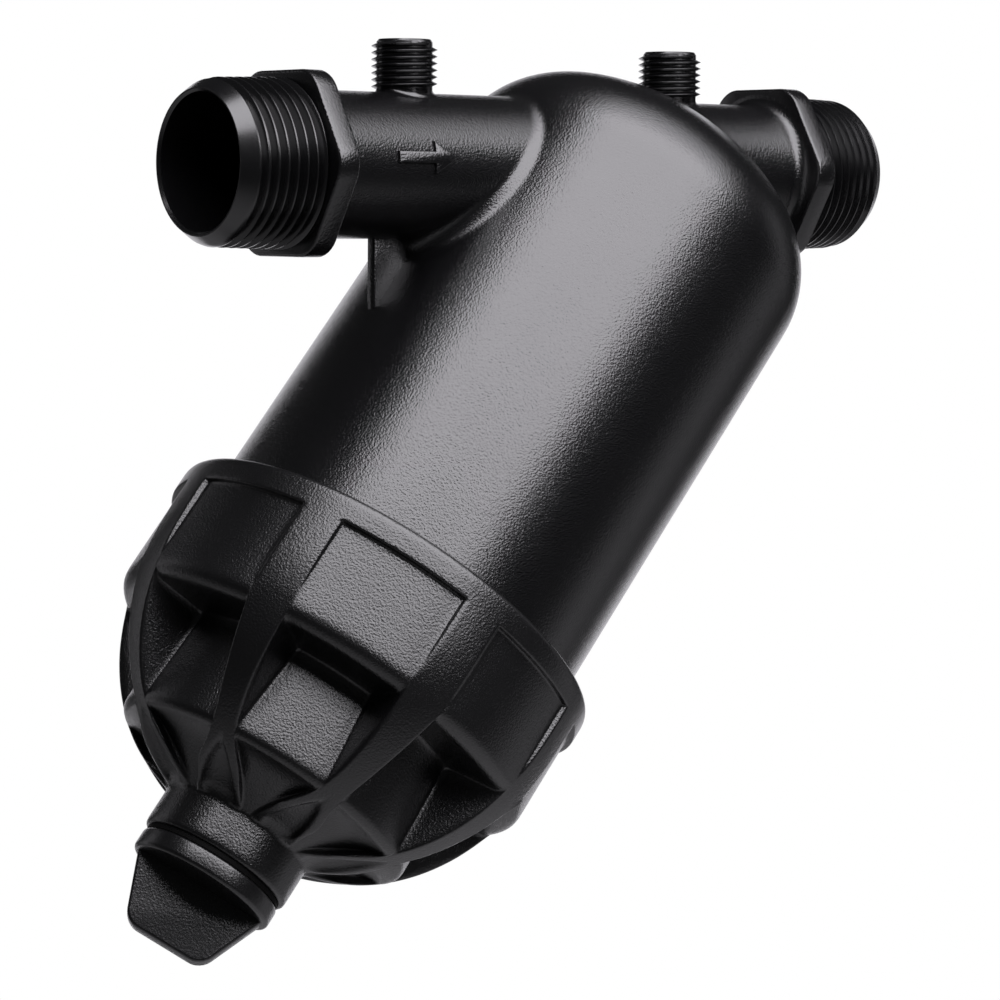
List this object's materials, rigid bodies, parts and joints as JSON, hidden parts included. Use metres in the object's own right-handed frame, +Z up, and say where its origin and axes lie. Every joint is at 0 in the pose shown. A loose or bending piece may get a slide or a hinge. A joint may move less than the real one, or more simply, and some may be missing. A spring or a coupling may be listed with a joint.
{
  "type": "irrigation disc filter",
  "caption": "Inclined-body irrigation disc filter with threaded pipe ends, gauge nozzles, a ribbed screw cover, a winged drain plug and a stack of filter discs.",
  "frame": {"origin": "centre of the inlet's open face", "axes": "+X along the pipe run from inlet to outlet, +Z up along the gauge nozzles"},
  "size_m": [0.1835, 0.094, 0.1796],
  "materials": {
    "body_plastic": "fine grain",
    "plug_plastic": "satin",
    "seal_rubber": "matte",
    "core_plastic": "satin",
    "disc_plastic": "finely grooved"
  },
  "bodies": {
    "housing": {"housing": "body_plastic", "cartridge_core": "core_plastic", "seat_seal": "seal_rubber", "pressure_plate": "core_plastic", "clamp_knob": "core_plastic", "filter_disc_1": "disc_plastic", "filter_disc_2": "disc_plastic", "filter_disc_3": "disc_plastic", "filter_disc_4": "disc_plastic", "filter_disc_5": "disc_plastic", "filter_disc_6": "disc_plastic", "filter_disc_7": "disc_plastic", "filter_disc_8": "disc_plastic", "filter_disc_9": "disc_plastic", "filter_disc_10": "disc_plastic", "filter_disc_11": "disc_plastic", "filter_disc_12": "disc_plastic", "filter_disc_13": "disc_plastic", "filter_disc_14": "disc_plastic", "filter_disc_15": "disc_plastic", "filter_disc_16": "disc_plastic", "filter_disc_17": "disc_plastic", "filter_disc_18": "disc_plastic", "filter_disc_19": "disc_plastic", "filter_disc_20": "disc_plastic", "filter_disc_21": "disc_plastic", "filter_disc_22": "disc_plastic", "filter_disc_23": "disc_plastic", "filter_disc_24": "disc_plastic", "filter_disc_25": "disc_plastic", "filter_disc_26": "disc_plastic", "filter_disc_27": "disc_plastic", "filter_disc_28": "disc_plastic", "filter_disc_29": "disc_plastic", "filter_disc_30": "disc_plastic", "filter_disc_31": "disc_plastic", "filter_disc_32": "disc_plastic", "filter_disc_33": "disc_plastic", "filter_disc_34": "disc_plastic", "filter_disc_35": "disc_plastic", "filter_disc_36": "disc_plastic", "filter_disc_37": "disc_plastic", "filter_disc_38": "disc_plastic", "filter_disc_39": "disc_plastic", "filter_disc_40": "disc_plastic", "filter_disc_41": "disc_plastic", "filter_disc_42": "disc_plastic", "filter_disc_43": "disc_plastic", "filter_disc_44": "disc_plastic"},
    "cover_seal": {"cover_seal": "seal_rubber"},
    "cover": {"cover": "body_plastic"},
    "drain_seal": {"drain_seal": "seal_rubber"},
    "drain_plug": {"drain_plug": "plug_plastic"}
  },
  "joints": [
    {"name": "cover_travel", "type": "slide", "parent": "housing", "child": "cover_seal", "axis": [-0.6428, 0, -0.766], "range_m": [0, 0.015]},
    {"name": "cover_turn", "type": "hinge", "parent": "cover_seal", "child": "cover", "pos_m": [0.118, 0, 0], "axis": [-0.6428, 0, -0.766], "range_deg": [0, 900]},
    {"name": "plug_travel", "type": "slide", "parent": "cover", "child": "drain_seal", "axis": [-0.6428, 0, -0.766], "range_m": [0, 0.0091]},
    {"name": "plug_turn", "type": "hinge", "parent": "drain_seal", "child": "drain_plug", "pos_m": [0.118, 0, 0], "axis": [-0.6428, 0, -0.766], "range_deg": [0, 1800]}
  ],
  "couplings": [
    {"joint": "cover_travel", "follows": "cover_turn", "m_per_rad": 0.00095492},
    {"joint": "plug_travel", "follows": "plug_turn", "m_per_rad": 0.0002887}
  ]
}
